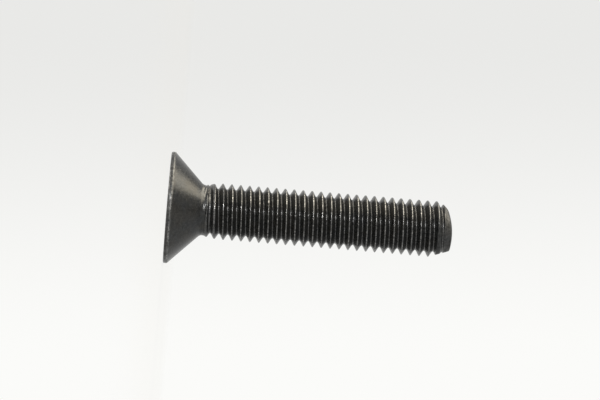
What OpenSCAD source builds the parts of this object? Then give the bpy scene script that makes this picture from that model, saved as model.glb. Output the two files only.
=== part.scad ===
// Countersunk screw with a hexagon socket and a full-length right-hand thread.
// It stands on the flat of its head: the origin is the centre of that flat,
// and +Z runs along the shank to the tip. Sizes are in millimetres.

/* [Overall] */
// Length from the flat of the head to the end of the tip
length = 40; // [25:0.1:60]

/* [Head] */
// Diameter across the rim
head_d = 15.6; // [14:0.1:18]
// Included angle of the cone behind the rim
head_angle = 90; // [80:1:100]
// Width of the straight land round the rim
rim_land = 0.4; // [0.1:0.05:0.8]
// Bevel between the flat of the head and the land
rim_bevel = 0.12; // [0.05:0.01:0.3]
// Radius that blends the cone into the neck
neck_fillet = 0.8; // [0.3:0.1:1.5]
// Straight neck between that blend and the start of the thread's groove
neck_plain = 0.35; // [0.1:0.05:3]

/* [Socket] */
// Width of the hexagon across its flats
socket_af = 5; // [4:0.5:6]
// Depth of the straight walls
socket_depth = 3; // [2:0.1:3.4]
// Included angle of the pointed floor
socket_floor_angle = 120; // [100:5:150]
// Reach of the bevelled mouth beyond the hexagon's corners
socket_mouth = 0.1; // [0.05:0.05:0.4]

/* [Thread] */
// Diameter over the crests
thread_d = 7.8; // [6.5:0.1:9]
// Rise in one turn
thread_pitch = 1.25; // [1:0.05:1.5]
// Length over which the groove sinks from the neck's surface to its full depth
thread_runout = 1.05; // [0.8:0.05:3]

/* [Tip] */
// Diameter of the taper at the height of the end
tip_d = 4.8; // [4:0.1:6]
// Height below the end at which the taper's axis crosses the shank's axis
tip_taper = 3.2; // [1:0.1:5]
// Included angle of the taper
tip_angle = 62; // [50:1:80]
// Lean of the taper's axis from the shank's axis
tip_lean = 11; // [0:1:15]
// Slant of the end from square, where the blank was sheared off
end_slant = 6; // [0:0.5:10]

/* [Hidden] */
steel = [0.21, 0.21, 0.205];
round_fn = 96;
clear = 1;

// Thread form: a 60 degree vee of height vee, its crest cut off by an eighth and its root by a sixth.
flank = 30;
vee = thread_pitch / 2 / tan(flank);
crest_r = thread_d / 2;
ridge_r = crest_r + vee / 8;
root_r = crest_r + vee / 8 - vee * 5 / 6;
flank_run = (ridge_r - root_r) * tan(flank);

// The neck is as thick as the blank that the thread was rolled on.
neck_r = crest_r - vee * 5 / 16;
core_r = root_r - vee / 10;

// Heights from the flat of the head upwards
head_r = head_d / 2;
half = head_angle / 2;
cone_z = rim_bevel + rim_land;
neck_z = cone_z + (head_r - neck_r) / tan(half);
blend = neck_fillet * tan(half / 2);
groove_z = neck_z + blend + neck_plain;
full_z = groove_z + thread_runout;
blend_steps = 6;

// The rolled metal swells into crests from a little before the groove to a little beyond its full depth.
swell_z = groove_z - thread_runout / 3;
crest_z = full_z + thread_runout * 2 / 3;
swell_rate = (crest_r - neck_r) / (crest_z - swell_z);

// The groove starts this far out of its full depth, clear of the neck's surface.
lift = neck_r - root_r + vee / 10;

// The taper is a cone about a leaning axis, and its longer side meets the slanted end at the full length.
tip_slope = tip_angle / 2;
taper_z = length - tip_taper;
taper_r = tip_d / 2 + tip_taper / cos(tip_lean) * tan(tip_slope);
long_r = taper_r * cos(tip_slope) / cos(tip_slope - tip_lean) - tip_taper * tan(tip_slope - tip_lean);
end_z = length - long_r * tan(end_slant);

// The thread starts inside the head and ends beyond the tip, where the envelope cuts it.
buried_turns = 1.88;
start_z = groove_z - buried_turns * thread_pitch;
turns = ceil((length - start_z) / thread_pitch) + 1;
facet_budget = 6800;
lines = 3;
steps = 4 * floor(min(36, facet_budget / (2 * lines * turns)) / 4);
count = turns * steps;

line_r = [ridge_r, root_r, root_r];
line_z = [0, flank_run, thread_pitch - flank_run];
foot = (count + 1) * lines;
top = foot + 1;
last = lines - 1;

function lifted(z) = lift * pow(min(1, max(0, (full_z - z) / thread_runout)), 2);

function line_point(step, line) =
    let (
        angle = 360 * step / steps,
        z = start_z + thread_pitch * step / steps + line_z[line],
        r = line_r[line] + lifted(z)
    )
    [r * cos(angle), r * sin(angle), z];

function at(step, line) = step * lines + line;

function quad(a, b, c, d) = [[a, b, c], [a, c, d]];

thread_points = concat(
    [for (step = [0:count]) for (line = [0:last]) line_point(step, line)],
    [[0, 0, start_z + thread_pitch / 2]],
    [[0, 0, start_z + thread_pitch * (turns + 1 / 2)]]
);

thread_faces = concat(
    // both flanks' strips, and the root strip that joins each turn to the next
    [for (step = [0:count - 1]) for (line = [0:last - 1])
        each quad(at(step, line), at(step, line + 1), at(step + 1, line + 1), at(step + 1, line))],
    [for (step = [0:count - steps - 1])
        each quad(at(step, last), at(step + steps, 0), at(step + steps + 1, 0), at(step + 1, last))],
    // the buried foot
    [for (step = [0:steps - 1]) [foot, at(step, 0), at(step + 1, 0)]],
    [for (line = [0:last - 1]) [foot, at(0, line + 1), at(0, line)]],
    [[foot, at(steps, 0), at(0, last)]],
    // the top beyond the tip
    [for (step = [count - steps:count - 1]) [top, at(step + 1, last), at(step, last)]],
    [for (line = [0:last - 1]) [top, at(count, line), at(count, line + 1)]],
    [[top, at(count - steps, last), at(count, 0)]]
);

// Concave arc from the cone to the neck
blend_arc = [
    for (i = [0:blend_steps])
        let (turn = half * (1 - i / blend_steps))
        [neck_r + neck_fillet * (1 - cos(turn)), neck_z + blend - neck_fillet * sin(turn)]
];

module head() {
    rotate_extrude($fn = round_fn)
        polygon(concat(
            [[0, 0], [head_r - rim_bevel, 0], [head_r, rim_bevel], [head_r, cone_z]],
            blend_arc,
            [[neck_r, groove_z], [core_r, groove_z + thread_runout / 4], [0, full_z]]
        ));
}

module swelling() {
    foot_z = start_z - thread_pitch;
    rotate_extrude($fn = round_fn)
        polygon([
            [0, foot_z],
            [neck_r - (swell_z - foot_z) * swell_rate, foot_z],
            [crest_r, crest_z],
            [crest_r, length + clear],
            [0, length + clear]
        ]);
}

module taper() {
    up = tip_taper + clear;
    down = length;
    wide_r = taper_r + down * tan(tip_slope);
    narrow_r = taper_r - up * tan(tip_slope);
    translate([0, 0, taper_z])
        rotate([0, tip_lean, 0])
        translate([0, 0, -down])
        cylinder(r1 = wide_r, r2 = narrow_r, h = down + up, $fn = round_fn);
}

module slanted_end() {
    translate([0, 0, end_z])
        rotate([0, -end_slant, 0])
        translate([0, 0, -2 * length])
        cylinder(r = length, h = 2 * length, $fn = round_fn);
}

module envelope() {
    intersection() {
        swelling();
        taper();
        slanted_end();
    }
}

module thread() {
    intersection() {
        envelope();
        polyhedron(points = thread_points, faces = thread_faces);
    }
}

module socket() {
    corner_r = socket_af / 2 / cos(30);
    mouth_r = corner_r + socket_mouth;
    mouth_slope = tan(60);
    mouth_h = clear + mouth_r / mouth_slope;
    floor_h = socket_af / 2 / tan(socket_floor_angle / 2);
    translate([0, 0, -clear])
        cylinder(r = corner_r, h = socket_depth + clear, $fn = 6);
    translate([0, 0, -clear])
        cylinder(r1 = mouth_h * mouth_slope, r2 = 0, h = mouth_h, $fn = round_fn);
    translate([0, 0, socket_depth])
        cylinder(r1 = socket_af / 2, r2 = 0, h = floor_h, $fn = round_fn);
}

module screw() {
    color(steel)
        difference() {
            union() {
                head();
                thread();
            }
            socket();
        }
}

screw();
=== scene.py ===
"""A countersunk socket screw in blackened steel, standing on the flat of its head.

The frame's box gives the overall sizes, and lengths below are in millimetres until they reach a mesh.
The screw was headed and rolled from one blank, so it is one closed skin: socket, flat, rim, cone and
neck are rings round the axis, and the thread is a grid that climbs with the helix from neck to tip.
"""

import logging
import math
from dataclasses import dataclass, field
from enum import Enum

import bpy
import numpy as np
from mathutils import Matrix, Vector

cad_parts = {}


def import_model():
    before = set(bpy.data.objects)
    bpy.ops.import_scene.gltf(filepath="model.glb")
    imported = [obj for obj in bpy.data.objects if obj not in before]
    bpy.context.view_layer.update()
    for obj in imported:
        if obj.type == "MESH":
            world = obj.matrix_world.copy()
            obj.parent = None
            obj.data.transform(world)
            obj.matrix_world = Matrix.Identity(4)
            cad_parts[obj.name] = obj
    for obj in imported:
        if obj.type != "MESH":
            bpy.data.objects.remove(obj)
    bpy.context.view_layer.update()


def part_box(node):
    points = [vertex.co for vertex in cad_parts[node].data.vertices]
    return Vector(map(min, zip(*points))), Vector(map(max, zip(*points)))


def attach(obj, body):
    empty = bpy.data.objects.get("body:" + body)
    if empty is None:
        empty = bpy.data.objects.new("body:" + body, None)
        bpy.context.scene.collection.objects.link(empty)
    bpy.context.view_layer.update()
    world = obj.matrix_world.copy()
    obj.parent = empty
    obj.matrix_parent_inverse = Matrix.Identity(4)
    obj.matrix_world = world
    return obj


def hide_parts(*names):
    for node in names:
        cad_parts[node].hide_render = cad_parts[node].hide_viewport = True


Array = np.ndarray
Pair = tuple[float, float]
Triple = tuple[float, float, float]
Edges = tuple[float, float, float, float]
MM = 0.001
FULL_TURN = 2.0 * math.pi
SIXTH_TURN = math.radians(60.0)
SHARP_ANGLE = math.radians(40.0)
NODE = "screw"
BODY = "root"
SLOT = "black_oxide"
PIECE = "screw_body"
LOG = logging.getLogger("screw")


class Trait(str, Enum):
    """Names of the values that the skin carries for its finish, in the order that Skin.add takes them."""

    WEAR_AND_SHEEN = "wear_and_sheen"
    SOCKET_SHADE = "socket_shade"
    TURNED = "turned"


class Picture(Enum):
    """The picture's directions in the frame: the camera lies on its side, so the shank runs to the right."""

    UP = (-1.0, 0.0, 0.0)
    DOWN = (1.0, 0.0, 0.0)
    RIGHT = (0.0, 0.0, 1.0)
    FRONT = (0.0, -1.0, 0.0)
    BACK = (0.0, 1.0, 0.0)


def smooth_max(a: Array, b: Array, width: float) -> Array:
    """Larger of two heights with a rounded corner where they cross.

    Where they differ by less than width, a parabola is added that reaches a quarter of width at a tie.

    Args:
        a: First heights.
        b: Second heights, of a shape that broadcasts with a.
        width: Difference at which the rounding ends.

    Returns:
        The blended heights.
    """
    near = np.clip(1.0 - np.abs(a - b) / width, 0.0, None)
    return np.maximum(a, b) + near**2 * width / 4.0


def smooth_min(a: Array, b: Array, width: float) -> Array:
    """Smaller of two heights with the same rounded corner, as the negative of smooth_max."""
    return -smooth_max(-a, -b, width)


def smooth_step(low: float, high: float, x: Array) -> Array:
    """Zero below low, one above high, and the cubic 3t^2 - 2t^3 between them."""
    t = np.clip((x - low) / (high - low), 0.0, 1.0)
    return t * t * (3.0 - 2.0 * t)


def window(edges: Edges, x: Array) -> Array:
    """One between the two middle edges and zero beyond the outer two: a smooth step up times one down."""
    return smooth_step(edges[0], edges[1], x) * (1.0 - smooth_step(edges[2], edges[3], x))


def polar(angle: Array, r: Array, z: Array) -> Array:
    """Points at radius r and height z for each angle, as rows of x, y and z."""
    angle, r, z = np.broadcast_arrays(angle, r, z)
    return np.stack([r * np.cos(angle), r * np.sin(angle), z], axis=-1).reshape(-1, 3)


@dataclass(frozen=True)
class Corner:
    """One corner of a turned profile, with the radius that rounds it and the steps to the next corner."""

    r: float
    z: float
    rounding: float = 0.0
    steps: int = 1


def turned_profile(corners: list[Corner], arc_steps: int) -> Array:
    """Profile through corners, each rounded by an arc that touches both of its sides.

    An arc of radius R in a corner of angle A starts R / tan(A / 2) from the corner, about a centre
    R / sin(A / 2) away on the bisector.

    Args:
        corners: Corners in order; the first and last aren't rounded.
        arc_steps: Steps along each arc.

    Returns:
        Rows of radius and height.
    """
    at = np.array([(c.r, c.z) for c in corners])
    t = np.linspace(0.0, 1.0, arc_steps + 1)[:, None]
    stops = [at[:1]]
    for here, corner in enumerate(corners[1:-1], start=1):
        back = at[here - 1] - at[here]
        ahead = at[here + 1] - at[here]
        back, ahead = back / np.linalg.norm(back), ahead / np.linalg.norm(ahead)
        half = math.acos(float(np.clip(back @ ahead, -1.0, 1.0))) / 2.0
        middle = at[here] + (back + ahead) / np.linalg.norm(back + ahead) * corner.rounding / math.sin(half)
        touch = corner.rounding / math.tan(half)
        first, last = at[here] + back * touch - middle, at[here] + ahead * touch - middle
        swing = math.pi - 2.0 * half
        arc = np.sin((1.0 - t) * swing) * first + np.sin(t * swing) * last
        stops.append(middle + arc / math.sin(swing))
    stops.append(at[-1:])
    rows = [stops[0]]
    for corner, before, after in zip(corners, stops, stops[1:]):
        along = np.linspace(0.0, 1.0, corner.steps + 1)[1:, None]
        rows.append(before[-1] + (after[0] - before[-1]) * along)
        rows.append(after[1:])
    return np.concatenate(rows)


class Skin:
    """Points, triangles and traits of one surface, gathered feature by feature."""

    def __init__(self) -> None:
        """Starts with nothing."""
        self.points: list[Array] = []
        self.traits: dict[Trait, list[Array]] = {trait: [] for trait in Trait}
        self.triangles: list[Array] = []
        self.count = 0

    def add(
        self,
        points: Array,
        wear_and_sheen: Array | float = 0.0,
        socket_shade: Array | float = 0.0,
        turned: Array | float = 0.0,
    ) -> Array:
        """Adds points with their traits.

        Args:
            points: Rows of x, y and z.
            wear_and_sheen: How much each point is paled, from 0 to 1, by rubbed wear and on some sides by
                painted highlight or painted shade.
            socket_shade: How much each point is darkened, from 0 to 1, as painted shade deeper in the socket.
            turned: How much each point shows the marks of a cut, from 0 to 1.

        Returns:
            The points' numbers.
        """
        self.points.append(points)
        for trait, value in zip(Trait, (wear_and_sheen, socket_shade, turned)):
            values = np.asarray(value, float).reshape(-1)
            self.traits[trait].append(np.broadcast_to(values, (len(points),)))
        self.count += len(points)
        return np.arange(self.count - len(points), self.count)

    def sheet(self, grid: Array) -> None:
        """Fills a grid with two triangles a cell, leaving out those that shrink to a line.

        Args:
            grid: Points' numbers, in rows.
        """
        cells = (grid[:-1, :-1], grid[:-1, 1:], grid[1:, 1:], grid[1:, :-1])
        a, b, c, d = (part.ravel() for part in cells)
        faces = np.concatenate([np.stack([a, b, c], 1), np.stack([a, c, d], 1)])
        whole = (faces != np.roll(faces, -1, axis=1)).all(axis=1)
        self.triangles.append(faces[whole])

    def rings(self, grid: Array) -> None:
        """Fills rows of numbers that each close into a ring."""
        self.sheet(np.concatenate([grid, grid[:, :1]], axis=1))

    def halve(self, fine: Array, coarse: Array) -> None:
        """Joins a ring to one of half its count, with three triangles for each coarse edge.

        Args:
            fine: Numbers of the finer ring.
            coarse: Numbers of the coarser ring, which starts beside the finer one's first point.
        """
        left, middle, right = fine[0::2], fine[1::2], np.roll(fine[0::2], -1)
        after = np.roll(coarse, -1)
        for corners in ((left, middle, coarse), (middle, after, coarse), (middle, right, after)):
            self.triangles.append(np.stack(corners, 1))

    def mesh(self, name: str) -> bpy.types.Mesh:
        """Makes the mesh, in metres, from the points that the triangles use.

        Args:
            name: The mesh's name.

        Returns:
            A smooth-shaded mesh with its traits as point attributes.
        """
        used, faces = np.unique(np.concatenate(self.triangles), return_inverse=True)
        faces = faces.reshape(-1, 3)
        mesh = bpy.data.meshes.new(name)
        mesh.from_pydata((np.concatenate(self.points)[used] * MM).tolist(), [], faces.tolist())
        for trait, values in self.traits.items():
            layer = mesh.attributes.new(trait.value, "FLOAT", "POINT")
            layer.data.foreach_set("value", np.concatenate(values)[used].astype(np.float32))
        mesh.polygons.foreach_set("use_smooth", np.ones(len(faces), dtype=bool))
        mesh.set_sharp_from_angle(angle=SHARP_ANGLE)
        mesh.validate()
        return mesh


@dataclass(frozen=True)
class ThreadForm:
    """A rolled 60 degree thread on a right-hand helix, whose groove sinks out of the neck's surface.

    Leads are heights above the start of the groove.
    """

    crest_r: float = 3.9
    pitch: float = 1.25
    flank_angle: float = math.radians(30.0)
    groove_z: float = 5.44
    swell_lead: tuple[float, ...] = (-0.54, -0.16, 0.15, 0.775, 1.4, 2.3)
    swell_r: tuple[float, ...] = (3.494, 3.54, 3.65, 3.77, 3.87, 3.94)
    floor_lead: Triple = (-0.14, 0.58, 0.71)
    floor_r: float = 3.30
    sink_lead: Pair = (-0.05, 0.52)
    sink_skew: float = 0.3
    buried_turns: float = 1.88
    crest_rounding: float = 0.105
    root_rounding: float = 0.22
    line_height: float = 0.035
    line_step: float = 0.50
    line_starts: int = 7
    line_turn: float = -2.12
    line_lead: Edges = (-0.6, -0.25, 0.1, 0.45)
    line_fading: float = 0.25
    fading_waves: int = 3
    fading_turn: float = 0.8

    @property
    def slope(self) -> float:
        """Fall of the flank for each millimetre along the axis: the cotangent of the flank's angle."""
        return 1.0 / math.tan(self.flank_angle)

    @property
    def vee(self) -> float:
        """Height of the sharp vee that the form is cut from: half a pitch times the flank's fall."""
        return self.pitch / 2.0 * self.slope

    @property
    def ridge_r(self) -> float:
        """Radius where the flanks would meet, an eighth of the vee above the crest."""
        return self.crest_r + self.vee / 8.0

    @property
    def root_r(self) -> float:
        """Radius of the root, five sixths of the vee below the ridge."""
        return self.ridge_r - self.vee * 5.0 / 6.0

    @property
    def neck_r(self) -> float:
        """Radius of the neck, three eighths of the vee below the crest."""
        return self.crest_r - self.vee * 3.0 / 8.0

    @property
    def core_r(self) -> float:
        """Radius that the thread grows from, a tenth of the vee below the root."""
        return self.root_r - self.vee / 10.0

    @property
    def ridge_z(self) -> float:
        """Height of the ridge at angle zero, some turns below the start of the groove."""
        return self.groove_z - self.buried_turns * self.pitch

    def turns(self, angle: Array, z: Array) -> Array:
        """Turns climbed from the buried ridge: height over pitch, less the angle's share of a turn."""
        return np.asarray(z - self.ridge_z) / self.pitch - angle / FULL_TURN

    def phase(self, angle: Array, z: Array) -> Array:
        """Pitches from the nearest ridge, from -0.5 to 0.5: the turns climbed, wrapped."""
        return (self.turns(angle, z) + 0.5) % 1.0 - 0.5

    def vee_radius(self, angle: Array, z: Array) -> Array:
        """Vee with its rounded root.

        The groove is lifted by one less a smooth step in height. That height is the root's at the same angle
        plus a share of the way from the root to the point, so the groove sinks out of the neck along its own
        helix, with its upper flank leading. The jump from one root to the next falls on the ridge, above
        where the crest is cut off.

        Args:
            angle: Angles round the axis.
            z: Heights.

        Returns:
            The radius before the crest is cut off.
        """
        turns = self.turns(angle, z)
        root_z = z + (np.floor(turns) + 0.5 - turns) * self.pitch
        sunk_lead = root_z + (z - root_z) * self.sink_skew - self.groove_z
        flank = self.ridge_r - np.abs(self.phase(angle, z)) * self.pitch * self.slope
        lifted = (self.neck_r - self.core_r) * (1.0 - smooth_step(*self.sink_lead, sunk_lead))
        return smooth_max(flank, self.root_r, self.root_rounding) + lifted

    def radius(self, angle: Array, z: Array) -> Array:
        """Thread with its run-out: the vee, clipped by the swelling metal and never below a floor.

        The floor falls in two straight lines from the neck's radius to the core's.

        Args:
            angle: Angles round the axis.
            z: Heights.

        Returns:
            The surface's radius.
        """
        floor = np.interp(z - self.groove_z, self.floor_lead, (self.neck_r, self.floor_r, self.core_r))
        cut = smooth_min(self.vee_radius(angle, z), self.swelling(z), self.crest_rounding)
        return smooth_max(cut, floor, self.crest_rounding)

    def swelling(self, z: Array) -> Array:
        """Radius of the rolled metal: straight lines through the table of leads and radii."""
        return np.interp(z - self.groove_z, self.swell_lead, self.swell_r)

    def rolling_lines(self, angle: Array, z: Array) -> Array:
        """Small ridges that the rolling dies left on the neck.

        They are a cosine across lines that fall as the angle grows, several starts a turn, times a window in
        height and a slow wave round the neck that makes them come and go.

        Args:
            angle: Angles round the axis.
            z: Heights.

        Returns:
            Radii to add.
        """
        lines = np.cos(FULL_TURN * z / self.line_step + self.line_starts * angle + self.line_turn)
        wave = np.cos(self.fading_waves * angle + self.fading_turn)
        fading = 1.0 - self.line_fading + self.line_fading * wave
        return self.line_height * lines * window(self.line_lead, z - self.groove_z) * fading


@dataclass(frozen=True)
class Socket:
    """The hexagon recess in the flat of the head, with a bevelled mouth and a pointed floor.

    Its rings are shares of the way: from the axis to the wall, along the wall, and on to the mouth's rim.
    """

    across: float = 5.0
    depth: float = 3.0
    floor_angle: float = math.radians(120.0)
    mouth_reach: float = 0.1
    mouth_slope: float = math.tan(math.radians(60.0))
    floor_rings: tuple[float, ...] = (0.2, 0.45, 0.7, 0.9, 0.985)
    wall_rings: tuple[float, ...] = (0.012, 0.25, 0.5, 0.75, 0.985)
    mouth_rings: tuple[float, ...] = (0.04, 0.5, 0.96)

    @property
    def mouth_r(self) -> float:
        """Radius of the bevelled mouth on the flat of the head, a little beyond the hexagon's corners."""
        return self.across / 2.0 / math.cos(SIXTH_TURN / 2.0) + self.mouth_reach

    @property
    def floor_z(self) -> float:
        """Height of the floor's point."""
        return self.depth + self.across / 2.0 / math.tan(self.floor_angle / 2.0)

    def wall(self, angle: Array) -> Array:
        """Radius of the hexagon: half its width over the cosine of the angle from the nearest flat."""
        return self.across / 2.0 / np.cos(angle % SIXTH_TURN - SIXTH_TURN / 2.0)

    def surface(self, angle: Array) -> tuple[Array, Array]:
        """Rings from the floor out to the mouth.

        The floor is a cone as wide as the hexagon's flats are apart, and level in the corners beyond it. The
        mouth is a cone that cuts deepest into the middle of each flat.

        Args:
            angle: Angles of a ring's points.

        Returns:
            Radius and height, one row for each ring.
        """
        wall = self.wall(angle)
        floor_r = np.array(self.floor_rings)[:, None] * wall
        inside = np.clip(self.across / 2.0 - floor_r, 0.0, None)
        floor_z = self.depth + inside / math.tan(self.floor_angle / 2.0)
        edge_z = (self.mouth_r - wall) / self.mouth_slope
        wall_z = self.depth + (edge_z - self.depth) * np.array(self.wall_rings)[:, None]
        mouth_r = wall + (self.mouth_r - wall) * np.array(self.mouth_rings)[:, None]
        r = np.concatenate([floor_r, np.broadcast_to(wall, wall_z.shape), mouth_r])
        z = np.concatenate([floor_z, wall_z, (self.mouth_r - mouth_r) / self.mouth_slope])
        return r, z


@dataclass(frozen=True)
class Head:
    """Flat, rim land and cone, blending into the neck."""

    rim_r: float = 7.8
    cone_z: float = 0.52
    foot_rounding: float = 0.2
    cone_angle: float = math.radians(90.0)
    neck_r: float = 3.494
    fillet: float = 0.9
    edge_rounding: float = 0.2
    flat_start: float = 0.03
    flat_steps: int = 9
    land_steps: int = 4
    cone_steps: int = 26
    arc_steps: int = 14
    land_top: Pair = (0.45, 0.75)
    land_side: Pair = (-0.35, -0.1)
    nicks: int = 90
    nick_seed: int = 11
    nick_width: Pair = (0.012, 0.05)
    nick_share: Pair = (0.15, 1.0)
    nick_depth: float = 0.06

    def profile(self, mouth_r: float, top_z: float) -> Array:
        """Profile from the socket's mouth over the flat, rim and cone to a height on the neck.

        Args:
            mouth_r: Radius of the socket's mouth.
            top_z: Height where the profile ends.

        Returns:
            Rows of radius and height.
        """
        neck_z = self.cone_z + (self.rim_r - self.neck_r) / math.tan(self.cone_angle / 2.0)
        corners = [
            Corner(mouth_r + self.flat_start, 0.0, steps=self.flat_steps),
            Corner(self.rim_r, 0.0, self.foot_rounding, self.land_steps),
            Corner(self.rim_r, self.cone_z, self.edge_rounding, self.cone_steps),
            Corner(self.neck_r, neck_z, self.fillet),
            Corner(self.neck_r, top_z),
        ]
        return turned_profile(corners, self.arc_steps)

    def land(self, profile: Array) -> Array:
        """Share of the land in each row of the profile: a step down in height times a step up in radius."""
        low = 1.0 - smooth_step(*self.land_top, profile[:, 1])
        return low * smooth_step(*self.land_side, profile[:, 0] - self.rim_r)

    def nicked(self, angle: Array) -> Array:
        """Depth of the small nicks round the rim: a sum of bell curves at random places, seeded.

        Args:
            angle: Angles round the axis.

        Returns:
            Radii to take away.
        """
        draw = np.random.default_rng(self.nick_seed)
        place = draw.uniform(0.0, FULL_TURN, self.nicks)
        width = draw.uniform(*self.nick_width, self.nicks)
        depth = self.nick_depth * draw.uniform(*self.nick_share, self.nicks) ** 2
        away = (angle[:, None] - place + math.pi) % FULL_TURN - math.pi
        return (depth * np.exp(-((away / width) ** 2))).sum(axis=1)


@dataclass(frozen=True)
class Tip:
    """The sheared end: a cone about a leaning axis that cuts the last threads, a rounded edge and a slant."""

    length: float = 40.0
    end_r: float = 2.4
    taper: float = 3.2
    half_angle: float = math.radians(31.0)
    lean: float = math.radians(11.0)
    slant: float = math.radians(6.0)
    crown: float = 0.21
    bow: float = 0.059
    edge_rounding: float = 0.2
    cut_rounding: float = 0.05
    cut_depth: Pair = (0.0, 0.06)
    end_rings: tuple[float, ...] = (1.0, 0.8, 0.55, 0.25)

    @property
    def taper_r(self) -> float:
        """Radius of the cone where its axis crosses the shank's, worked out from its radius at the end."""
        return self.end_r + self.taper / math.cos(self.lean) * math.tan(self.half_angle)

    @property
    def end_z(self) -> float:
        """Height of the slanted end on the axis: its longer side meets the cone at the full length.

        Returns:
            The height before the crown is added.
        """
        steep = self.half_angle - self.lean
        long_r = self.taper_r * math.cos(self.half_angle) / math.cos(steep) - self.taper * math.tan(steep)
        return self.length - long_r * math.tan(self.slant)

    def end_height(self, angle: Array, r: Array) -> Array:
        """Height of the end: its crown on the axis, plus the slant's rise along +X, less the bow times r^2.

        Args:
            angle: Angles round the shank.
            r: Radii, which count only as far out as the cone is wide where the axes cross.

        Returns:
            The heights.
        """
        r = np.minimum(r, self.taper_r)
        return self.end_z + self.crown + math.tan(self.slant) * r * np.cos(angle) - self.bow * r**2

    def cone_radius(self, angle: Array, z: Array) -> Array:
        """Radius of the leaning cone about the shank's axis.

        A point lies on the cone where its way to the apex, taken along the cone's axis, is the whole way
        times the cosine of the half angle. Squared, that is a quadratic in the radius.

        Args:
            angle: Angles round the shank.
            z: Heights.

        Returns:
            The quadratic's positive root.
        """
        reach = self.taper_r / math.tan(self.half_angle)
        apex_x = reach * math.sin(self.lean)
        below = self.length - self.taper + reach * math.cos(self.lean) - z
        along = apex_x * math.sin(self.lean) + below * math.cos(self.lean)
        across = np.cos(angle)
        share = math.cos(self.half_angle) ** 2
        a = (across * math.sin(self.lean)) ** 2 - share
        b = 2.0 * across * (apex_x * share - along * math.sin(self.lean))
        c = along**2 - share * (apex_x**2 + below**2)
        return (-b - np.sqrt(b * b - 4.0 * a * c)) / (2.0 * a)

    def path(self, angle: Array, run: Array) -> tuple[Array, Array]:
        """Cone, edge and slanted end as one path.

        The run is the height on the cone, and it goes on along the same cone beyond the end, where the height
        stays on the slant.

        Args:
            angle: Angles round the shank.
            run: Heights on the cone.

        Returns:
            Radius and height.
        """
        r = self.cone_radius(angle, run)
        return r, smooth_min(run, self.end_height(angle, r), self.edge_rounding)


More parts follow.
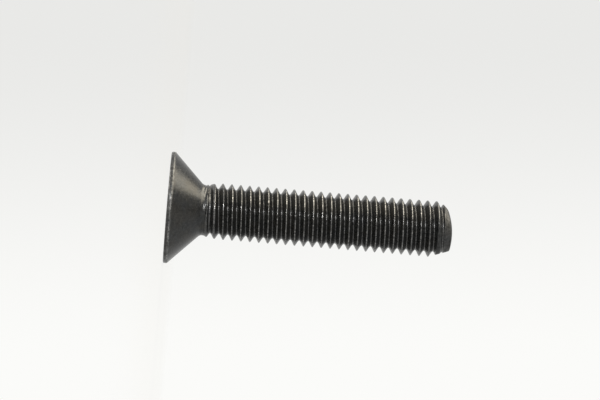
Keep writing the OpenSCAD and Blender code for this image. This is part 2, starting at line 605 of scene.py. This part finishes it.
@dataclass(frozen=True)
class Wear:
    """How much each place of the skin is paled, from 0 to 1: rubbed wear, and painted light on some sides.

    Pairs are the ends of a smooth step and fours are the edges of a window. A step or window named for a side
    is taken in the share of the radius that lies towards -X, and paints a highlight or a shade on that side.
    """

    socket_mouth: float = 0.45
    end: float = 0.4
    edge_reach: Pair = (0.08, 0.24)
    edge_level: float = 0.80
    edge_wave: float = 0.10
    edge_waves: int = 10
    edge_turn: float = math.radians(260.0)
    edge_shade_loss: float = 0.2
    edge_shade_side: Pair = (0.0, 0.6)
    foot_reach: Pair = (0.10, 0.30)
    foot_least: float = 0.2
    foot_turn: float = math.radians(240.0)
    foot_power: int = 4
    land_level: float = 0.3
    neck_sheen_level: float = 0.2
    neck_sheen_height: Edges = (4.3, 4.9, 5.7, 6.6)
    neck_sheen_side: Pair = (0.05, 0.8)
    lip_sheen_level: float = 0.30
    lip_sheen_height: Edges = (4.95, 5.15, 5.42, 5.50)
    lip_sheen_side: Edges = (-0.12, 0.12, 0.60, 0.80)
    crest_depth: Pair = (-0.085, -0.03)
    crest_over: Pair = (0.15, 0.35)
    crest_loss: float = 0.6
    crest_heights: tuple[float, ...] = (5.36, 6.0, 8.4, 35.0, 38.5)
    crest_levels: tuple[float, ...] = (0.6, 0.7, 0.85, 0.8, 0.58)
    first_sheen_gain: float = 0.35
    first_sheen_side: Edges = (-0.1, 0.3, 0.35, 0.65)
    first_sheen_height: Pair = (6.6, 7.2)
    lower_shade_loss: float = 0.4
    lower_shade_side: Pair = (0.3, 0.8)
    lower_shade_height: Pair = (7.0, 9.0)
    root_phase: Pair = (0.402, 0.455)
    root_lead: Pair = (0.15, 0.40)
    root_level: float = 0.5
    root_sheen_gain: float = 0.2
    root_sheen_side: Edges = (-0.7, -0.3, 0.15, 0.4)
    taper_level: float = 0.22
    taper_gain: float = 0.14
    taper_band: Edges = (0.45, 0.75, 1.0, 1.25)
    brink_reach: Pair = (0.1, 0.6)
    brink_sheen_gain: float = 0.42
    brink_loss: float = 0.10
    brink_sheen_side: Pair = (0.1, 0.6)

    def side(self, angle: Array) -> Array:
        """Share of the radius that lies towards -X: the cosine of the angle, negated."""
        return -np.cos(angle)

    def rim(self, head: Head, profile: Array, angle: Array) -> Array:
        """Wear of the rim: the greater of what its two edges show, with a faint trace on the land.

        Each edge fades with the distance from it. The cone's edge carries a wave and is less pale towards -X,
        a painted shade on that side. The foot and the land are rubbed in two places, by a power of a cosine
        of twice the angle.

        Args:
            head: The head's sizes.
            profile: Rows of radius and height.
            angle: Angles round the axis.

        Returns:
            One row for each row of the profile.
        """
        outwards, height = profile[:, 0] - head.rim_r, profile[:, 1]
        edge = 1.0 - smooth_step(*self.edge_reach, np.hypot(outwards, height - head.cone_z))
        foot = 1.0 - smooth_step(*self.foot_reach, np.hypot(outwards, height))
        wave = self.edge_level + self.edge_wave * np.cos(self.edge_waves * (angle - self.edge_turn))
        # painted shade: the cone's edge is paled less towards -X
        edge_shading = 1.0 - self.edge_shade_loss * smooth_step(*self.edge_shade_side, self.side(angle))
        rubbed = (0.5 + 0.5 * np.cos(2.0 * (angle - self.foot_turn))) ** self.foot_power
        patches = self.foot_least + (1.0 - self.foot_least) * rubbed
        low = np.maximum(foot, self.land_level * head.land(profile))
        return np.maximum(edge[:, None] * wave * edge_shading, low[:, None] * patches)

    def neck(self, angle: Array, z: Array) -> Array:
        """Painted highlight on the neck: a broad pale band towards -X, and a narrow lip on both sides of
        that.

        Each is a window in height times a step or window in the side.

        Args:
            angle: Angles round the axis.
            z: Heights.

        Returns:
            The wear of each point.
        """
        side = self.side(angle)
        # painted highlight: pale patches on the neck's upper and front side
        band = window(self.neck_sheen_height, z) * smooth_step(*self.neck_sheen_side, side)
        lip = window(self.lip_sheen_height, z) * window(self.lip_sheen_side, side)
        return self.neck_sheen_level * band + self.lip_sheen_level * lip

    def crests(self, thread: ThreadForm, angle: Array, z: Array) -> Array:
        """Wear of the crests: a step in the depth below the rolled metal's full radius.

        It is less in the middle of a crest, where the vee stands far above it, and follows a table in height.
        The first crest is paler part of the way towards -X, a painted highlight, and the first few are less
        pale towards +X, a painted shade.

        Args:
            thread: The thread's form.
            angle: Angles round the axis.
            z: Heights.

        Returns:
            The wear of each point.
        """
        side = self.side(angle)
        full_r = thread.swelling(z)
        over = smooth_step(*self.crest_over, thread.vee_radius(angle, z) - full_r)
        # painted highlight on the first crest, part of the way towards -X
        first = window(self.first_sheen_side, side) * (1.0 - smooth_step(*self.first_sheen_height, z))
        # painted shade on the first few crests towards +X
        lower_shade = smooth_step(*self.lower_shade_side, -side) * (1.0 - smooth_step(*self.lower_shade_height, z))
        crest = smooth_step(*self.crest_depth, thread.radius(angle, z) - full_r)
        crest *= 1.0 - self.crest_loss * over
        crest *= np.interp(z, self.crest_heights, self.crest_levels)
        return crest * (1.0 + self.first_sheen_gain * first) * (1.0 - self.lower_shade_loss * lower_shade)

    def roots(self, thread: ThreadForm, angle: Array, z: Array) -> Array:
        """Wear of the roots: a step in the pitches from the ridge, times one in height, with a painted
        highlight in a side window.

        Args:
            thread: The thread's form.
            angle: Angles round the axis.
            z: Heights.

        Returns:
            The wear of each point.
        """
        root = smooth_step(*self.root_phase, np.abs(thread.phase(angle, z)))
        root *= smooth_step(*self.root_lead, z - thread.groove_z)
        # painted highlight: the roots are paler on the side that faces the camera
        return root * (self.root_level + self.root_sheen_gain * window(self.root_sheen_side, self.side(angle)))

    def taper(self, angle: Array, below: Array) -> Array:
        """Wear of the tip's taper: an even level, a paler band, and a brink that is paler towards -X alone, a
        painted highlight.

        Args:
            angle: Angles round the axis.
            below: Depths below the slanted end.

        Returns:
            The wear of each point.
        """
        brink = 1.0 - smooth_step(*self.brink_reach, below)
        # painted highlight: the brink is paler towards -X alone
        brink_sheen_less_loss = self.brink_sheen_gain * smooth_step(*self.brink_sheen_side, self.side(angle)) - self.brink_loss
        return self.taper_level + self.taper_gain * window(self.taper_band, below) + brink * brink_sheen_less_loss


@dataclass(frozen=True)
class Noise:
    """Cloudy noise about a half: features a millimetre, octaves of detail and their roughness."""

    scale: float
    detail: float
    roughness: float


@dataclass(frozen=True)
class Finish:
    """Oil-blackened steel: an even black skin, rubbed paler along its edges and flecked with bare metal.

    Pairs are the ends of a smooth step of a noise or a trait.
    """

    cool_colour: Triple = (0.0425, 0.0440, 0.0450)
    warm_colour: Triple = (0.0470, 0.0460, 0.0430)
    # pale colour of rubbed wear, also used for painted highlight
    rubbed_and_sheen_colour: Triple = (0.200, 0.200, 0.196)
    bare_colour: Triple = (0.45, 0.44, 0.42)
    metallic: float = 0.8
    specular_level: float = 0.25
    head_end: float = 5.0
    head_blur: float = 0.35
    cloud: Noise = Noise(0.45, 4.0, 0.6)
    mottle: Noise = Noise(2.6, 5.0, 0.65)
    speck: Noise = Noise(5.5, 3.0, 0.6)
    grain: Noise = Noise(11.0, 3.0, 0.6)
    streak: Noise = Noise(1.0, 3.0, 0.6)
    streak_stretch: Triple = (0.2, 0.2, 2.8)
    warm_from: Pair = (0.35, 0.65)
    mottle_gain: float = 1.4
    mottle_least: float = 0.3
    socket_shade_loss: float = 0.5
    band_from: Pair = (0.56, 0.44)
    band_loss: float = 0.6
    rubbed_from: Pair = (0.36, 0.60)
    bare_from: Pair = (0.44, 0.56)
    thread_roughness: float = 0.29
    head_roughness: float = 0.22
    rubbed_roughness: float = 0.20
    grain_roughness: float = 0.18
    mottle_roughness: float = 0.22
    head_speck_roughness: float = 0.25
    head_rubbed_roughness: float = 0.25
    turned_roughness: float = 0.15
    band_roughness: float = 0.12
    bump_strength: float = 0.6
    bump_height: float = 0.04
    bump_grain: float = 0.4
    head_bump: float = 0.5

    def material(self) -> bpy.types.Material:
        """Builds the node tree.

        The tint drifts between a cool and a warm black, is mottled, darker by painted shade deeper in the
        socket and in the bands that a cut left, and goes over to the rubbed and the bare colour where rubbed
        wear, with painted highlight and shade on some sides, meets noise. Roughness is that of the head or
        the thread plus each noise's share about its mean.

        Returns:
            A metal whose wear, painted highlight and shade, and cutting marks follow the skin's traits.
        """
        material = bpy.data.materials.new(SLOT)
        tree = NodeTree(material)
        place = tree.millimetres()
        mottle, speck, grain = (tree.noise(place, kind) for kind in (self.mottle, self.speck, self.grain))
        streak = tree.noise(tree.stretched(place, self.streak_stretch), self.streak)
        wear_and_sheen, socket_shade, turned = (tree.trait(trait) for trait in Trait)
        height = tree.axis(place, "Z")
        on_head = tree.span(height, (self.head_end + self.head_blur, self.head_end - self.head_blur))
        bands = tree.math("MULTIPLY", turned, tree.span(streak, self.band_from))

        warmth = tree.span(tree.noise(place, self.cloud), self.warm_from)
        tint = tree.mix(warmth, self.cool_colour, self.warm_colour)
        tint = tree.scale(tint, tree.math("MULTIPLY_ADD", mottle, self.mottle_gain, self.mottle_least))
        # painted shade: darker deeper in the socket
        tint = tree.scale(tint, tree.math("MULTIPLY_ADD", socket_shade, -self.socket_shade_loss, 1.0))
        tint = tree.scale(tint, tree.math("MULTIPLY_ADD", bands, -self.band_loss, 1.0))
        uneven = tree.math("MULTIPLY_ADD", mottle, 0.5, tree.math("MULTIPLY", speck, 0.5))
        # paler where rubbed, and on some sides paler as painted highlight or less pale as painted shade
        rubbed = tree.math("MULTIPLY", wear_and_sheen, tree.span(uneven, self.rubbed_from))
        tint = tree.mix(rubbed, tint, self.rubbed_and_sheen_colour)
        flecks = tree.span(tree.math("MULTIPLY", wear_and_sheen, speck), self.bare_from)
        tint = tree.mix(flecks, tint, self.bare_colour)

        polish = self.rubbed_roughness - self.thread_roughness
        rough = tree.blend(on_head, self.thread_roughness, self.head_roughness)
        for value, share in (
            (tree.math("SUBTRACT", grain, 0.5), self.grain_roughness),
            (tree.math("SUBTRACT", mottle, 0.5), self.mottle_roughness),
            (tree.math("SUBTRACT", speck, 0.5), tree.blend(on_head, 0.0, self.head_speck_roughness)),
            (turned, self.turned_roughness),
            (wear_and_sheen, tree.blend(on_head, polish, self.head_rubbed_roughness)),
            (bands, self.band_roughness),
        ):
            rough = tree.math("MULTIPLY_ADD", value, share, rough)

        bump = tree.node("ShaderNodeBump", Strength=self.bump_strength, Distance=self.bump_height * MM)
        fine = tree.math("MULTIPLY", grain, self.bump_grain)
        relief = tree.math("MULTIPLY_ADD", mottle, 1.0 - self.bump_grain, fine)
        relief = tree.math("MULTIPLY", relief, tree.blend(on_head, 1.0, self.head_bump))
        tree.feed(bump.inputs["Height"], relief)

        shader = tree.node("ShaderNodeBsdfPrincipled", Metallic=self.metallic)
        shader.inputs["Specular IOR Level"].default_value = self.specular_level
        tree.feed(shader.inputs["Base Color"], tint)
        tree.feed(shader.inputs["Roughness"], rough)
        tree.feed(shader.inputs["Normal"], bump.outputs["Normal"])
        tree.finish("ShaderNodeOutputMaterial", shader.outputs["BSDF"])
        return material


class NodeTree:
    """Short names for the nodes of one material or world."""

    def __init__(self, owner: bpy.types.Material | bpy.types.World) -> None:
        """Empties the owner's tree.

        Args:
            owner: What the tree belongs to.
        """
        owner.use_nodes = True
        self.tree = owner.node_tree
        self.tree.nodes.clear()

    def node(self, kind: str, **values: object) -> bpy.types.Node:
        """Adds a node.

        Args:
            kind: The node's type.
            values: Numbers or colours for the inputs of these names.

        Returns:
            The node.
        """
        node = self.tree.nodes.new(kind)
        for name, value in values.items():
            node.inputs[name].default_value = value
        return node

    def feed(self, socket: bpy.types.NodeSocket, value: object) -> None:
        """Links an output to a socket, or sets the socket to a number or a colour.

        Args:
            socket: The socket to feed.
            value: An output, a number, or a colour as a tuple of three.
        """
        if isinstance(value, bpy.types.NodeSocket):
            self.tree.links.new(value, socket)
        elif isinstance(value, tuple):
            socket.default_value = (*value, 1.0)
        else:
            socket.default_value = value

    def millimetres(self) -> bpy.types.NodeSocket:
        """Object coordinates in millimetres."""
        return self.stretched(self.node("ShaderNodeTexCoord").outputs["Object"], (1.0 / MM,) * 3)

    def stretched(self, vector: bpy.types.NodeSocket, scale: Triple) -> bpy.types.NodeSocket:
        """Scales a vector along each axis.

        Args:
            vector: The vector.
            scale: Its factors.

        Returns:
            The scaled vector.
        """
        node = self.node("ShaderNodeMapping", Scale=scale)
        self.feed(node.inputs["Vector"], vector)
        return node.outputs["Vector"]

    def axis(self, vector: bpy.types.NodeSocket, name: str) -> bpy.types.NodeSocket:
        """Takes one component of a vector.

        Args:
            vector: The vector.
            name: X, Y or Z.

        Returns:
            The component.
        """
        split = self.node("ShaderNodeSeparateXYZ")
        self.feed(split.inputs["Vector"], vector)
        return split.outputs[name]

    def trait(self, trait: Trait) -> bpy.types.NodeSocket:
        """Reads one of the skin's own values.

        Args:
            trait: Which one.

        Returns:
            The value.
        """
        node = self.node("ShaderNodeAttribute")
        node.attribute_name = trait.value
        return node.outputs["Fac"]

    def noise(self, vector: bpy.types.NodeSocket, kind: Noise) -> bpy.types.NodeSocket:
        """Adds noise.

        Args:
            vector: Where it is read, in millimetres.
            kind: Its scale, detail and roughness.

        Returns:
            The noise, from 0 to 1.
        """
        node = self.node(
            "ShaderNodeTexNoise", Scale=kind.scale, Detail=kind.detail, Roughness=kind.roughness
        )
        self.feed(node.inputs["Vector"], vector)
        return node.outputs["Fac"]

    def math(self, operation: str, *values: object) -> bpy.types.NodeSocket:
        """Works out a sum.

        Args:
            operation: What to do.
            values: One to three outputs or numbers.

        Returns:
            The result.
        """
        node = self.node("ShaderNodeMath")
        node.operation = operation
        for socket, value in zip(node.inputs, values):
            self.feed(socket, value)
        return node.outputs["Value"]

    def vector_math(self, operation: str, result: str, **values: object) -> bpy.types.NodeSocket:
        """Works out a sum on vectors.

        Args:
            operation: What to do.
            result: Name of the output to take.
            values: Outputs, vectors or numbers for the inputs a, b and factor.

        Returns:
            The result.
        """
        node = self.node("ShaderNodeVectorMath")
        node.operation = operation
        places = {"a": 0, "b": 1, "factor": "Scale"}
        for name, value in values.items():
            self.feed(node.inputs[places[name]], value)
        return node.outputs[result]

    def span(self, value: object, ends: Pair, levels: Pair = (0.0, 1.0)) -> bpy.types.NodeSocket:
        """Maps a value by a smooth step.

        Args:
            value: The value.
            ends: Where the step starts and stops, in either order.
            levels: The results at those ends.

        Returns:
            The result.
        """
        node = self.node("ShaderNodeMapRange")
        node.interpolation_type = "SMOOTHSTEP"
        limits = (*ends, *levels) if ends[0] < ends[1] else (*ends[::-1], *levels[::-1])
        for name, number in zip(("From Min", "From Max", "To Min", "To Max"), limits):
            node.inputs[name].default_value = number
        self.feed(node.inputs["Value"], value)
        return node.outputs["Result"]

    def either(self, factor: object, a: object, b: object) -> bpy.types.NodeSocket:
        """Goes straight from one number to another as the factor goes from 0 to 1.

        Args:
            factor: The factor.
            a: The number at 0.
            b: The number at 1.

        Returns:
            The number between them.
        """
        node = self.node("ShaderNodeMapRange")
        for name, value in (("Value", factor), ("To Min", a), ("To Max", b)):
            self.feed(node.inputs[name], value)
        return node.outputs["Result"]

    def mix(self, factor: object, a: object, b: object) -> bpy.types.NodeSocket:
        """Mixes two colours.

        Args:
            factor: The share of b.
            a: The first colour.
            b: The second colour.

        Returns:
            The colour between them.
        """
        node = self.node("ShaderNodeMix")
        node.data_type = "RGBA"
        for place, value in ((0, factor), (6, a), (7, b)):
            self.feed(node.inputs[place], value)
        return node.outputs[2]

    def blend(self, factor: object, a: float, b: float) -> bpy.types.NodeSocket:
        """Number between a and b: the factor times their difference, plus a."""
        return self.math("MULTIPLY_ADD", factor, b - a, a)

    def scale(self, colour: bpy.types.NodeSocket, factor: bpy.types.NodeSocket) -> bpy.types.NodeSocket:
        """Colour times a number."""
        return self.vector_math("SCALE", "Vector", a=colour, factor=factor)

    def blend_shaders(self, factor: object, a: bpy.types.Node, b: bpy.types.Node) -> bpy.types.Node:
        """Mixes the first outputs of two shader nodes.

        Args:
            factor: The share of b.
            a: The first node.
            b: The second node.

        Returns:
            The mixing node.
        """
        node = self.node("ShaderNodeMixShader")
        for place, value in ((0, factor), (1, a.outputs[0]), (2, b.outputs[0])):
            self.feed(node.inputs[place], value)
        return node

    def finish(self, kind: str, shader: bpy.types.NodeSocket) -> None:
        """Links the shader to the surface of an output node of this kind."""
        self.feed(self.node(kind).inputs["Surface"], shader)


@dataclass
class Screw:
    """The whole screw: its features, the skin over them, its wear with painted highlight and shade, and its
    finish.

    The thread's grid has turn_steps columns a turn and the lines are its rows, as shares of a pitch.
    """

    socket: Socket = field(default_factory=Socket)
    head: Head = field(default_factory=Head)
    thread: ThreadForm = field(default_factory=ThreadForm)
    tip: Tip = field(default_factory=Tip)
    wear: Wear = field(default_factory=Wear)
    finish: Finish = field(default_factory=Finish)
    turn_steps: int = 96
    neck_z: float = 5.36
    seam: float = 0.08
    flat_reach: float = 1.4
    lines: tuple[float, ...] = (
        0.0, 0.022, 0.044, 0.066, 0.09, 0.12, 0.18, 0.27, 0.36, 0.41, 0.438, 0.47,
        0.53, 0.562, 0.59, 0.64, 0.73, 0.82, 0.88, 0.91, 0.934, 0.956, 0.978,
    )

    def build(self) -> bpy.types.Object:
        """Builds the skin from the socket's floor to the end of the tip.

        Returns:
            The screw as one closed mesh object.
        """
        skin = Skin()
        fine = self.build_head(skin)
        self.build_shank(skin, fine)
        piece = bpy.data.objects.new(PIECE, skin.mesh(PIECE))
        bpy.context.scene.collection.objects.link(piece)
        return piece

    def build_head(self, skin: Skin) -> Array:
        """Rings from the floor of the socket over the flat and the cone to the neck.

        The profile is turned round the axis, less the nicks on its land, plus the rolling lines on the neck.

        Args:
            skin: The skin to add to.

        Returns:
            Numbers of the last ring's points.
        """
        angle = np.arange(2 * self.turn_steps) * FULL_TURN / (2 * self.turn_steps)
        socket_r, socket_z = self.socket.surface(angle)
        profile = self.head.profile(self.socket.mouth_r, self.neck_z - self.seam)
        z = np.broadcast_to(profile[:, 1:], (len(profile), len(angle)))
        nicks = self.head.nicked(angle) * self.head.land(profile)[:, None]
        r = profile[:, :1] - nicks + self.thread.rolling_lines(angle, z)

        # rubbed wear of rim and neck, with painted highlight and painted shade on some sides
        worn_and_sheen = np.maximum(self.wear.rim(self.head, profile, angle), self.wear.neck(angle, z))
        wear_and_sheen = np.concatenate([np.zeros_like(socket_r), worn_and_sheen])
        wear_and_sheen[len(socket_r) - len(self.socket.mouth_rings) : len(socket_r)] = self.wear.socket_mouth
        # painted shade: the tint darkens the deeper a point lies in the socket
        socket_shade = np.concatenate([np.clip(socket_z / self.socket.depth, 0.0, 1.0), np.zeros_like(r)])
        points = polar(angle, np.concatenate([socket_r, r]), np.concatenate([socket_z, z]))
        grid = skin.add(points, wear_and_sheen, socket_shade).reshape(-1, len(angle))
        point = skin.add(np.array([[0.0, 0.0, self.socket.floor_z]]), socket_shade=1.0)
        skin.rings(np.concatenate([np.broadcast_to(point, (1, len(angle))), grid]))
        return grid[-1]

    def build_shank(self, skin: Skin, fine: Array) -> None:
        """Neck, thread and tip as one grid that climbs a pitch each turn.

        The first turn opens like a wedge from a ring on the neck, and the last closes like a wedge on to a
        ring on the flat of the tip, so that both ends of the helix meet level rings. The radius is the lesser
        of the thread's and the taper's.

        Args:
            skin: The skin to add to.
            fine: The head's last ring, with twice the points of a turn.
        """
        steps, pitch = self.turn_steps, self.thread.pitch
        reach = self.tip.length + self.flat_reach - self.neck_z
        climb = int(reach / pitch * steps) - steps
        start = round(((self.neck_z - self.thread.ridge_z) / pitch + 0.5) * steps) % steps
        step = np.arange(-steps, climb + steps + 1)[:, None]
        line = np.array(self.lines)[None, :]
        top = self.neck_z + (climb / steps + 1.0) * pitch
        opening = 1.0 + np.minimum(step, 0) / steps
        closing = 1.0 - np.maximum(step - climb, 0) / steps
        climbing = self.neck_z + np.maximum(step, 0) / steps * pitch + line * pitch * opening
        run = np.where(step <= climb, climbing, top - (1.0 - line) * pitch * closing)
        angle = np.broadcast_to((start + step) * FULL_TURN / steps, run.shape)

        end_r, z = self.tip.path(angle, run)
        cut_r = self.thread.radius(angle, z)
        r = smooth_min(cut_r, end_r, self.tip.cut_rounding) + self.thread.rolling_lines(angle, z)
        cut = smooth_step(*self.tip.cut_depth, cut_r - end_r)
        below = self.tip.end_height(angle, end_r) - run
        # rubbed wear of thread and taper, with painted highlight and painted shade on some sides
        rolled = np.maximum(self.wear.crests(self.thread, angle, z), self.wear.roots(self.thread, angle, z))
        worn_and_sheen = rolled * (1.0 - cut) + self.wear.taper(angle, below) * cut
        worn_and_sheen = np.maximum(worn_and_sheen, self.wear.neck(angle, z))
        raw = skin.add(polar(angle, r, z), worn_and_sheen, turned=cut).reshape(r.shape)

        ring_angle = (start + climb + np.arange(steps)) * FULL_TURN / steps
        flat_r = self.tip.cone_radius(ring_angle, top) * np.array(self.tip.end_rings)[:, None]
        flat_points = polar(ring_angle, flat_r, self.tip.end_height(ring_angle, flat_r))
        flat = skin.add(flat_points, self.wear.end).reshape(flat_r.shape)
        middle = skin.add(np.array([[0.0, 0.0, self.tip.end_z + self.tip.crown]]), self.wear.end)

        grid = np.concatenate([raw, np.zeros_like(raw[:, :1])], axis=1)
        grid[0, :] = raw[steps, 0]
        grid[: climb + steps, -1] = grid[steps : climb + 2 * steps, 0]
        grid[climb + steps : climb + 2 * steps, -1] = flat[0]
        grid[-1, :] = flat[0, 0]
        skin.sheet(grid.T)
        skin.halve(np.roll(fine, -2 * start), grid[:steps, 0])
        skin.rings(np.concatenate([flat, np.broadcast_to(middle, (1, steps))]))

    def dress(self, piece: bpy.types.Object) -> None:
        """Gives the piece its finish."""
        piece.data.materials.append(self.finish.material())


@dataclass(frozen=True)
class Panel:
    """A soft light: its place and size in metres, its brightness, where 1 is white, and the way it faces.

    The place is given from the screw along the picture's directions. A panel that faces no named way faces
    the screw.
    """

    name: str
    place: dict[Picture, float]
    size: Pair
    brightness: float
    colour: Triple = (1.0, 1.0, 1.0)
    faces: Picture | None = None

    def hang(self, target: Vector) -> None:
        """Hangs the light.

        Its power is pi times its area times its brightness, as for a surface that shines alike all ways.

        Args:
            target: The middle of the screw.
        """
        lamp = bpy.data.lights.new(self.name, "AREA")
        lamp.shape = "RECTANGLE"
        lamp.size, lamp.size_y = self.size
        lamp.energy = math.pi * self.size[0] * self.size[1] * self.brightness
        lamp.color = self.colour
        away = sum((Vector(side.value) * metres for side, metres in self.place.items()), Vector())
        behind = away if self.faces is None else -Vector(self.faces.value)
        turn = behind.to_track_quat("Z", "Y").to_matrix().to_4x4()
        hung = bpy.data.objects.new(self.name, lamp)
        hung.matrix_world = Matrix.Translation(target + away) @ turn
        bpy.context.scene.collection.objects.link(hung)


@dataclass(frozen=True)
class Studio:
    """Floor, backdrop, lights and the camera that lies on its side.

    The floor's rings and the ends of its steps are shares of its reach. The camera's clip is in metres.
    """

    floor_colour: Triple = (0.62, 0.62, 0.62)
    floor_reach: float = 900.0
    floor_drop: float = 0.02
    floor_steps: int = 96
    floor_rings: tuple[float, ...] = (1.0, 0.5, 0.2, 0.05)
    floor_lit: Pair = (0.25, 0.06)
    floor_lit_share: float = 0.1
    floor_fade: Pair = (0.15, 0.95)
    backdrop_colour: Triple = (0.871, 0.871, 0.855)
    backdrop_levels: Pair = (0.936, 1.108)
    backdrop_fade: float = 0.0694
    ambient: float = 0.45
    reflected: float = 0.71
    camera_place: Triple = (-2.520, -342.094, 4.413)
    camera_yaw: float = math.radians(2.334)
    camera_tilt: float = math.radians(4.726)
    camera_clip: Pair = (0.01, 20.0)
    focal_pixels: float = 2451.0
    image_width: float = 600.0
    sensor: float = 36.0
    target: Triple = (0.0, 0.0, 18.0)
    panels: tuple[Panel, ...] = (
        Panel(
            "softbox",
            {Picture.UP: 0.30, Picture.RIGHT: 0.39, Picture.BACK: 0.02},
            (0.48, 0.66),
            4.8,
            (1.0, 0.92, 0.76),
            Picture.DOWN,
        ),
        Panel("roof", {Picture.UP: 0.34, Picture.BACK: 0.02}, (0.25, 0.10), 1.0),
        Panel("front_lamp", {Picture.FRONT: 0.47, Picture.UP: 0.17}, (0.07, 0.40), 26.0),
        Panel("table", {Picture.DOWN: 0.10}, (1.6, 1.6), 0.12),
    )

    def build_floor(self) -> None:
        """A level disc, as rings of points about its middle.

        The camera sees through it to the backdrop and metal sees the backdrop's colour in it, apart from a
        small share near the screw that shows the light on it and so keeps the shadow. It fades out towards
        its rim.
        """
        skin = Skin()
        around = np.arange(self.floor_steps) * FULL_TURN / self.floor_steps
        outwards = np.array(self.floor_rings)[:, None] * self.floor_reach
        rings = skin.add(polar(around, outwards, -self.floor_drop)).reshape(-1, self.floor_steps)
        middle = skin.add(np.array([[0.0, 0.0, -self.floor_drop]]))
        skin.rings(np.concatenate([rings, np.broadcast_to(middle, (1, self.floor_steps))]))
        floor = bpy.data.objects.new("floor", skin.mesh("floor"))

        material = bpy.data.materials.new("pale_floor")
        tree = NodeTree(material)
        plain = tree.node("ShaderNodeBsdfDiffuse", Color=(*self.floor_colour, 1.0))
        pale = tree.node("ShaderNodeEmission", Color=(*self.backdrop_colour, 1.0))
        clear = tree.node("ShaderNodeBsdfTransparent")
        path = tree.node("ShaderNodeLightPath").outputs
        distance = tree.vector_math("LENGTH", "Value", a=tree.millimetres())
        away = tree.math("MULTIPLY", distance, 1.0 / self.floor_reach)
        lit = tree.span(away, self.floor_lit)
        even = tree.math("MULTIPLY_ADD", lit, -self.floor_lit_share, 1.0)
        shown = tree.blend_shaders(tree.math("MULTIPLY", path["Is Glossy Ray"], even), plain, pale)
        shown = tree.blend_shaders(tree.math("MULTIPLY", path["Is Camera Ray"], even), shown, clear)
        shown = tree.blend_shaders(tree.span(away, self.floor_fade), shown, clear)
        tree.finish("ShaderNodeOutputMaterial", shown.outputs["Shader"])
        floor.data.materials.append(material)
        bpy.context.scene.collection.objects.link(floor)

    def build_backdrop(self) -> None:
        """A pale world of one colour, whose strength depends on what meets it.

        It lights the screw at the ambient level, metal sees a higher one, glass would see all of it, and the
        camera sees it grow paler towards the picture's foot: a smooth step in the share of the ray that
        points down in the picture.
        """
        world = bpy.data.worlds.new("backdrop")
        bpy.context.scene.world = world
        tree = NodeTree(world)
        ray = tree.node("ShaderNodeTexCoord").outputs["Generated"]
        down = tree.vector_math("DOT_PRODUCT", "Value", a=ray, b=-self.camera_axes()[1])
        shown = tree.span(down, (-self.backdrop_fade, self.backdrop_fade), self.backdrop_levels)
        path = tree.node("ShaderNodeLightPath").outputs
        level = tree.either(path["Is Glossy Ray"], self.ambient, self.reflected)
        level = tree.either(path["Is Transmission Ray"], level, 1.0)
        level = tree.either(path["Is Camera Ray"], level, shown)
        light = tree.node("ShaderNodeBackground", Color=(*self.backdrop_colour, 1.0))
        tree.feed(light.inputs["Strength"], level)
        tree.finish("ShaderNodeOutputWorld", light.outputs["Background"])

    def camera_axes(self) -> tuple[Vector, Vector, Vector]:
        """The camera's own right, up and back: level with the picture at first, then yawed and tilted.

        Returns:
            The three directions in the frame.
        """
        yaw, tilt = self.camera_yaw, self.camera_tilt
        right, up, front = (Vector(side.value) for side in (Picture.RIGHT, Picture.UP, Picture.FRONT))
        back = front * math.cos(yaw) - right * math.sin(yaw)
        level = right * math.cos(yaw) + front * math.sin(yaw)
        across = level * math.cos(tilt) + up * math.sin(tilt)
        above = up * math.cos(tilt) - level * math.sin(tilt)
        return across, above, back

    def place_camera(self) -> None:
        """Places the camera and makes it the scene's own.

        Its lens is the focal length in pixels times the sensor's width over the image's.
        """
        turn = Matrix(self.camera_axes()).transposed().to_4x4()
        lens = bpy.data.cameras.new("camera")
        lens.sensor_fit = "HORIZONTAL"
        lens.sensor_width = self.sensor
        lens.lens = self.focal_pixels * self.sensor / self.image_width
        lens.clip_start, lens.clip_end = self.camera_clip
        camera = bpy.data.objects.new("camera", lens)
        camera.matrix_world = Matrix.Translation(Vector(self.camera_place) * MM) @ turn
        bpy.context.scene.collection.objects.link(camera)
        bpy.context.scene.camera = camera

    def build(self) -> None:
        """Sets up everything round the screw."""
        bpy.context.scene.view_settings.view_transform = "Standard"
        self.build_floor()
        self.build_backdrop()
        for panel in self.panels:
            panel.hang(Vector(self.target) * MM)
        self.place_camera()


def main() -> None:
    """Loads the frame, builds and dresses the screw in it, and sets up the studio."""
    logging.basicConfig(level=logging.INFO, format="%(name)s: %(message)s")
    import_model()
    low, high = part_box(NODE)
    length = (high[2] - low[2]) / MM
    rim_r = (high[0] - low[0]) / MM / 2.0
    screw = Screw(head=Head(rim_r=rim_r), tip=Tip(length=length))
    piece = screw.build()
    screw.dress(piece)
    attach(piece, BODY)
    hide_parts(NODE)
    LOG.info("%s: %d triangles", piece.name, len(piece.data.polygons))
    Studio().build()


if __name__ == "__main__":
    main()
